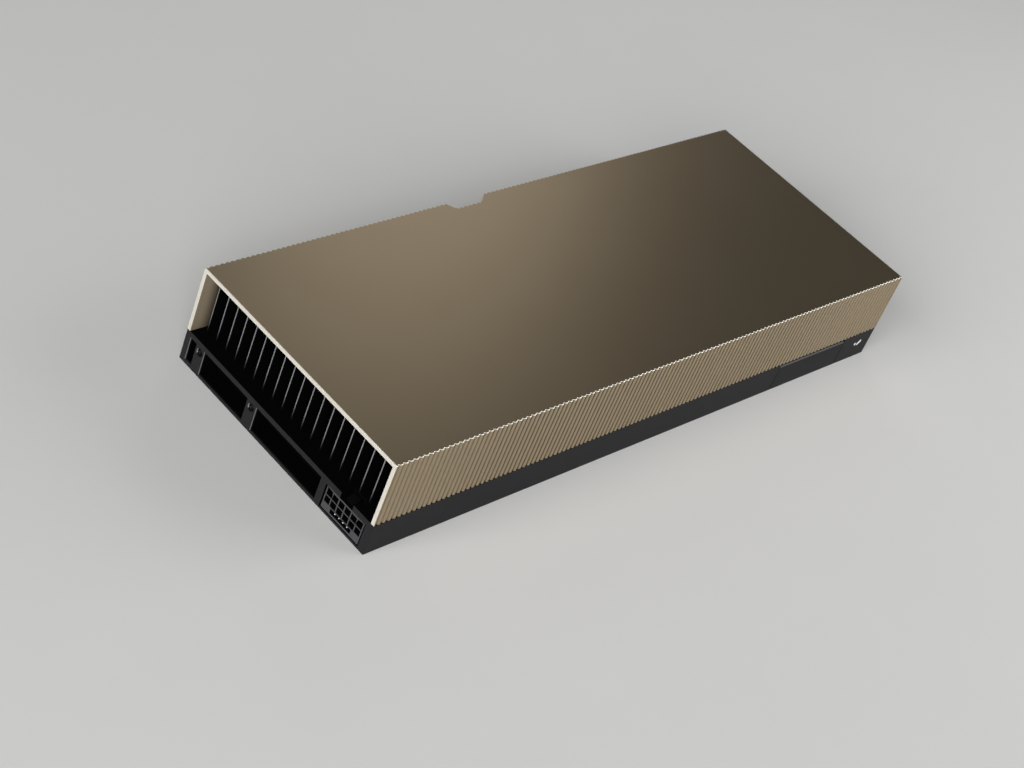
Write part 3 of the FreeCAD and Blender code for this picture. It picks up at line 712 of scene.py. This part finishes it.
# Painted shade: the deck's upward faces and the gap round the connector take the black.
for face in ring.faces:
    middle = face.calc_center_median()
    on_deck = face.normal.z > 0.9 and middle.z > deck_level - 0.1 * mm
    if on_deck or (round_the_connector(middle) and abs(face.normal.x) < 0.5):
        face.material_index = 1
finished("frame_ring", ring, [ring_paint, shade_black, painted_highlight], ["base_frame"], crease=20)
print("softened", softened, "edges")

# %% [markdown]
# ## The fins
# Each fin is a thin plate sheared from rolled strip, dark on its faces, where a black deeper than a
# real finish stands in as painted shade, and bare where it was cut. Only its front edge shows, as a
# fine grey line. The copy's upright end edges are bevelled, which leaves a narrow flat for the light to
# catch, and the faces that look along x take the cut finish.

# %% Break the fins' edges
fin_break = 0.16 * mm
fins = shaped_copy("heatsink_fins")
fin_low, fin_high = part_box("heatsink_fins")
fin_ends = [e for e in fins.edges if is_sharp(e)
            and (in_plane(e, 0, fin_low.x) or in_plane(e, 0, fin_high.x))
            and abs(e.verts[1].co.z - e.verts[0].co.z) > 5 * mm]
broken = soften(fins, fin_ends, fin_break, segments=1)
for face in fins.faces:
    if abs(face.normal.x) > 0.9:
        face.material_index = 1
finished("cooling_fins", fins, [finishes["dark_fins"], fin_cut()], ["heatsink_fins"])
print("broke", broken, "edges")

# %% [markdown]
# ## The power connector
# Twelve square sockets and a slot for the sense contacts open in a moulded block. The plug needs room
# to find its way, so each mouth is chamfered, and the latch on top has round edges. The sockets' walls,
# the block's sides and top behind its front face, and the chamfers inside its outline take the black as
# painted shade, and the chamfers round the outline stay plain.

# %% Chamfer the mouths
latch_height = 2.0 * mm
outline_width = 0.6 * mm
mouth_chamfer = 0.22 * mm
latch_round = 0.15 * mm
socket_top = socket_high.z - latch_height
block = shaped_copy("power_connector_housing")
mouths = [e for e in block.edges if is_sharp(e) and in_plane(e, 0, socket_low.x)
          and e.calc_length() > outline_width]
chamfered = soften(block, mouths, mouth_chamfer)
# Painted shade: every face but the front and the outer chamfers takes the black.
for face in block.faces:
    place = face.calc_center_median()
    within = (socket_low.y + outline_width < place.y < socket_high.y - outline_width
              and socket_low.z + outline_width < place.z < socket_top - outline_width)
    if face.normal.x > -0.65 or (within and face.normal.x > -0.97):
        face.material_index = 1
latch = [e for e in block.edges if is_sharp(e) and e.calc_length() > 1.5 * mm
         and min(v.co.z for v in e.verts) > socket_high.z - 0.01 * mm]
softened = soften(block, latch, latch_round)
finished("socket_block", block, [finishes["connector_plastic"], shade_black],
         ["power_connector_housing"], crease=20)
print("chamfered", chamfered, "edges and softened", softened, "on the latch")

# %% [markdown]
# ## The sense contacts' tips
# In the slot under the sockets, four sprung contacts wait for the plug's sense pins. Each ends in a
# rolled tip, and only those tips catch light in the dark slot. A short bent strip would do, but from
# outside nothing but its rounded nose shows, so a squashed sphere with few faces stands for each.

# %% Roll the sense contacts' tips
sense_pitch = 2.07 * mm
sense_count = 4
tip_size = (0.7 * mm, 0.75 * mm, 0.6 * mm)
sense_low, sense_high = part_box("sense_contacts")
tips = bmesh.new()
for i in range(sense_count):
    y = (sense_low.y + sense_high.y) / 2 + (i - (sense_count - 1) / 2) * sense_pitch
    tip = bmesh.ops.create_uvsphere(tips, u_segments=16, v_segments=10, radius=0.5)["verts"]
    bmesh.ops.scale(tips, vec=tip_size, verts=tip)
    bmesh.ops.translate(tips, vec=(socket_low.x + 0.5 * mm, y, sense_low.z - 0.05 * mm), verts=tip)
finished("sense_tips", tips, [finishes["spring_steel"]])

# %% [markdown]
# ## The bridge connector's cover
# A flush plate closes the window in the plain side. Its chamfered top edge catches the light as a thin
# pale line, so that edge keeps its form, and only the plate's outline is softened. The chamfer also
# takes a paler finish, as a painted highlight.

# %% Soften the cover
def painted_highlight_chamfer():
    """The cover's chamfer, paler than the paint beside it as a painted highlight."""
    finish = Finish("painted_highlight_chamfer", IOR=1.35)
    finish.colours(finish.grain(1.2 * mm), (0.060, 0.060, 0.064), (0.085, 0.085, 0.090))
    finish.vary("Roughness", 0.5 + 0.1 * finish.grain(0.5 * mm))
    return finish.material


cover_round = 0.1 * mm
cover = shaped_copy("bridge_connector_cover")
cover_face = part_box("bridge_connector_cover")[0].y
outline = [e for e in cover.edges if is_sharp(e) and in_plane(e, 1, cover_face)]
softened = soften(cover, outline, cover_round)
cover_paint = charcoal_paint("cover_paint").material
# Painted highlight: the chamfer's faces take the paler finish.
for face in cover.faces:
    if 0.5 < face.normal.z < 0.9 and face.normal.y < -0.5:
        face.material_index = 1
finished("bridge_cover", cover, [cover_paint, painted_highlight_chamfer()],
         ["bridge_connector_cover"], crease=20)
print("softened", softened, "edges")

# %% [markdown]
# ## The board's edge
# A card's edge is bevelled so that it slides between the slot's springs. The CAD board ends square, so
# the copy's outer edges along the finger segments are bevelled, by about a quarter of its thickness
# from each face. Cutting with a tilted plane would do as well, but it would need one cut for each face.

# %% Bevel the card's edge
edge_bevel = 0.42 * mm
board_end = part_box("circuit_board")[1].y
board = shaped_copy("circuit_board")
finger_edges = [e for e in board.edges if is_sharp(e) and in_plane(e, 1, board_end)
                and abs(e.verts[1].co.x - e.verts[0].co.x) > 5 * mm]
bevelled = soften(board, finger_edges, edge_bevel, segments=1)
finished("card_edge_board", board, [finishes["circuit_board"]], ["circuit_board"])
print("bevelled", bevelled, "edges")

# %% [markdown]
# ## The edge contacts
# Each segment carries a row of gold pads at the standard's pitch. One pad is modelled, with round
# corners, and copied along the segment by a spin with no angle: each step only moves. Both faces of the
# board get the same rows, which a mirror would also give, but a second level is one more loop value.

# %% Lay the contacts
contact_pitch = 1.0 * mm
contact_width = 0.7 * mm
contact_corner = 0.15 * mm
short_count = 11
long_count = 71
rounding = 1e-7
finger_low, finger_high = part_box("edge_contacts_front")
back_low, back_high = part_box("edge_contacts_back")


def contact_row(bm, first_x, count, low, high):
    """A row of pads that starts at first_x and runs towards the outlet end."""
    size = Vector((contact_width, finger_high.y - finger_low.y, high - low))
    centre = Vector((first_x, (finger_low.y + finger_high.y) / 2, (low + high) / 2))
    pad = bmesh.ops.create_cube(bm, size=1.0)["verts"]
    bmesh.ops.scale(bm, vec=size, verts=pad)
    bmesh.ops.translate(bm, vec=centre, verts=pad)
    corners = [e for e in bm.edges if all(v in pad for v in e.verts)
               and abs(e.verts[1].co.z - e.verts[0].co.z) > 0]
    bmesh.ops.bevel(bm, geom=corners, offset=contact_corner, offset_type="OFFSET",
                    affect="EDGES", segments=2, profile=0.5, material=-1)
    shape = {v for v in bm.verts if abs(v.co.x - first_x) < contact_width
             and low - rounding <= v.co.z <= high + rounding}
    geom = [v for v in bm.verts if v in shape]
    geom += [part for part in (*bm.edges, *bm.faces) if shape.issuperset(part.verts)]
    bmesh.ops.spin(bm, geom=geom, cent=(0, 0, 0), axis=(0, 0, 1), dvec=(contact_pitch, 0, 0),
                   angle=0, steps=count - 1, use_duplicate=True)


for name, node, low, high in (("contacts_front", "edge_contacts_front", finger_low.z, finger_high.z),
                              ("contacts_back", "edge_contacts_back", back_low.z, back_high.z)):
    rows = bmesh.new()
    half = contact_width / 2
    contact_row(rows, finger_low.x + half, long_count, low, high)
    short_first = finger_high.x - half - (short_count - 1) * contact_pitch
    contact_row(rows, short_first, short_count, low, high)
    finished(name, rows, [finishes["contact_gold"]], [node])

# %% [markdown]
# ## The case screws
# Four countersunk screws close the card from below. Their heads lie flush in the bottom plate, each
# with a six-lobed drive recess. The head starts as a cone. Its cap is inset, the inset ring is pushed
# in and out six times round to make the lobes, and the face inside it is extruded into the head.
# Cutting the recess with a boolean would work too, but it leaves long thin triangles round it.

# %% Turn the screws
screw_low, screw_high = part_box("case_screws")
plate_low, plate_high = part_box("backplate")
head_radius = 1.9 * mm
shank_radius = 1.0 * mm
recess_radius = 0.95 * mm
lobe_depth = 0.13
recess_depth = 0.7 * mm


def case_screw(bm, x, y):
    head_height = plate_high.z - plate_low.z
    before = set(bm.verts)
    bmesh.ops.create_cone(bm, cap_ends=True, segments=48, radius1=head_radius, radius2=shank_radius,
                          depth=head_height,
                          matrix=Matrix.Translation((x, y, plate_low.z + head_height / 2)))
    made = [v for v in bm.verts if v not in before]
    faces = {f for v in made for f in v.link_faces}
    cap = next(f for f in faces if f.normal.z < -0.9)
    bmesh.ops.inset_region(bm, faces=[cap], thickness=head_radius - recess_radius)
    for vert in cap.verts:
        turn = math.atan2(vert.co.y - y, vert.co.x - x)
        scale = 1 + lobe_depth * math.cos(6 * turn)
        vert.co.x = x + (vert.co.x - x) * scale
        vert.co.y = y + (vert.co.y - y) * scale
    pushed = bmesh.ops.extrude_discrete_faces(bm, faces=[cap])["faces"][0]
    bmesh.ops.translate(bm, vec=(0, 0, recess_depth), verts=pushed.verts)
    tip = next(f for f in {f for v in made if v.is_valid for f in v.link_faces} if f.normal.z > 0.9
               and f.calc_center_median().z > plate_high.z - 0.01 * mm)
    shank = bmesh.ops.extrude_discrete_faces(bm, faces=[tip])["faces"][0]
    bmesh.ops.translate(bm, vec=(0, 0, screw_high.z - plate_high.z), verts=shank.verts)


case_x = (screw_low.x + head_radius, screw_high.x - head_radius)
case_y = (screw_low.y + head_radius, screw_high.y - head_radius)
screws = bmesh.new()
for x in case_x:
    for y in case_y:
        case_screw(screws, x, y)
finished("drive_screws", screws, [finishes["screw_steel"]], ["case_screws"])

# %% [markdown]
# ## Threads in the holes
# Two threaded holes at each end take the chassis support and the bracket. The holes are in the frame;
# the thread is a thin ridge that winds along their wall. A spin that also travels along its axis makes
# it: the three corners of the ridge's section go round and forward at once. Its cut metal blackens
# with the depth, because little light gets into so narrow a hole.

# %% Wind the threads
hole_radius = 1.25 * mm
hole_depth = 6.0 * mm
ridge_pitch = 0.5 * mm
ridge_height = 0.16 * mm
first_turn = 0.3 * mm
steps_a_turn = 28


def thread(bm, x, y, inwards):
    """A winding ridge on the wall of a hole that starts at x and runs inwards, +1 or -1, along x."""
    turns = math.floor((hole_depth - ridge_pitch) / ridge_pitch)
    section = [(0.05, 0.0), (0.5, -ridge_height / ridge_pitch), (0.95, 0.0)]
    verts = [bm.verts.new((x + inwards * along * ridge_pitch, y, hole_level + hole_radius
                           + rise * ridge_pitch)) for along, rise in section]
    edges = [bm.edges.new(pair) for pair in zip(verts, verts[1:])]
    steps = turns * steps_a_turn
    bmesh.ops.spin(bm, geom=verts + edges, cent=(x, y, hole_level), axis=(1, 0, 0),
                   dvec=(inwards * ridge_pitch / steps_a_turn, 0, 0), angle=2 * math.pi * turns,
                   steps=steps, use_duplicate=False)


bracket_y = [plain_side + 6.8 * mm, slot_side - 6.8 * mm]
threads = bmesh.new()
for y in support_y:
    thread(threads, intake_end + first_turn, y, 1)
for y in bracket_y:
    thread(threads, outlet_end - first_turn, y, -1)


def thread_metal():
    """Cut metal near the mouth, which blackens with the depth."""
    finish = Finish("cut_thread", Metallic=0.6)
    painted_shade_inward = finish.fade(from_ends(finish), 0.0, 0.6 * mm, shape="LINEAR")
    cut = finish.blend(finish.grain(0.3 * mm), (0.22, 0.22, 0.225), (0.34, 0.34, 0.345))
    finish.colours(painted_shade_inward, cut, (0.002, 0.002, 0.002))
    finish.vary("Roughness", 0.4 + 0.2 * finish.grain(0.2 * mm))
    return finish.material


finished("hole_threads", threads, [thread_metal()])

# %% [markdown]
# ## The floor and the world
# A plain pale floor, and a world that is light near the horizon and dark above. A world of one grey
# would light the card as well, but the satin top is nearly a mirror for broad shapes, and needs
# something that changes with height to show that it is flat and polished.

# %% Floor and world
floor_reach = 4.0


def pale_floor():
    finish = Finish("pale_floor", IOR=1.3)
    finish.colours(finish.grain(40 * mm), (0.85, 0.85, 0.84), (0.87, 0.87, 0.86))
    finish.vary("Roughness", 0.75 + 0.1 * finish.grain(5 * mm))
    return finish.material


floor_bm = bmesh.new()
bmesh.ops.create_grid(floor_bm, x_segments=2, y_segments=2, size=floor_reach)
floor_mesh = bpy.data.meshes.new("floor")
floor_bm.to_mesh(floor_mesh)
floor_bm.free()
floor_mesh.materials.append(pale_floor())
floor = bpy.data.objects.new("floor", floor_mesh)
bpy.context.scene.collection.objects.link(floor)

world = bpy.data.worlds.new("studio")
world.use_nodes = True
bpy.context.scene.world = world
sky = Board(world.node_tree)
direction = sky.node("ShaderNodeTexCoord", output="Generated")
height = sky.node("ShaderNodeSeparateXYZ", None, {0: direction}, output="Z")
backdrop = world.node_tree.nodes["Background"]
horizon = (0.7, 0.7, 0.7)
zenith = (0.02, 0.02, 0.02)
sky.feed(backdrop.inputs["Color"], sky.blend(sky.fade(height, 0.0, 0.34), horizon, zenith))
backdrop.inputs["Strength"].default_value = 1.0
print("floor reaches", floor_reach, "m each way")

# %% [markdown]
# ## The lamps
# Three white panels, each placed for one job. What the satin top shows is the part of the room that
# lies beyond it, so `far_panel` stands where the top's far half looks, and gives the gentle fade from
# light to dark along the card. `edge_panel` stands where the narrow chamfer along the top edge looks.
# The large, low `key` lights everything else: the lower it stands, the brighter the cut end beside the
# floor. Small bare lamps would be quicker to place, but they leave hard spots on a satin surface.

# %% Lamps
def softbox(name, place, aim, size, watts):
    lamp = bpy.data.lights.new(name, "AREA")
    lamp.shape = "RECTANGLE"
    lamp.size, lamp.size_y = size
    lamp.energy = watts
    holder = bpy.data.objects.new(name, lamp)
    holder.location = place
    holder.rotation_euler = (Vector(aim) - Vector(place)).to_track_quat("-Z", "Y").to_euler()
    holder.visible_camera = False
    bpy.context.scene.collection.objects.link(holder)


softbox("key", (-2.2, -0.75, 1.15), (0, 0, 0), (3.0, 1.9), 85)
softbox("edge_panel", (0.62, -0.50, 0.38), (0.10, -0.05, 0.02), (0.7, 0.7), 3.0)
softbox("far_panel", (0.35, 0.375, 0.37), (-0.05, 0.03, 0.04), (0.22, 0.18), 0.17)

# %% [markdown]
# ## The camera
# A long lens looks down on the card from beyond the power connector's corner. The camera is also
# rolled, which sets the card aslant in the picture. Its place could be typed in, but it says more when
# it follows from what the camera aims at, the direction and the distance.

# %% Set the camera
camera_azimuth = math.radians(56.949)
camera_elevation = math.radians(36.748)
camera_roll = math.radians(22.967)
camera_distance = 695.14 * mm
camera_aim = Vector((-70.11 * mm, -40.74 * mm, top_level))
camera_lens = 74.653

lens = bpy.data.cameras.new("camera")
lens.lens = camera_lens
lens.sensor_width = 36
lens.clip_start = 0.01
lens.clip_end = 50
camera = bpy.data.objects.new("camera", lens)
look = Vector((math.sin(camera_azimuth) * math.cos(camera_elevation),
               math.cos(camera_azimuth) * math.cos(camera_elevation), -math.sin(camera_elevation)))
level = look.to_track_quat("-Z", "Y").to_matrix()
camera.matrix_world = (Matrix.Translation(camera_aim - look * camera_distance)
                       @ (level @ Matrix.Rotation(camera_roll, 3, "Z")).to_4x4())
bpy.context.scene.collection.objects.link(camera)
bpy.context.scene.camera = camera
bpy.context.scene.view_settings.view_transform = "Standard"
print("camera at", [round(v, 4) for v in camera.matrix_world.translation])

# %% [markdown]
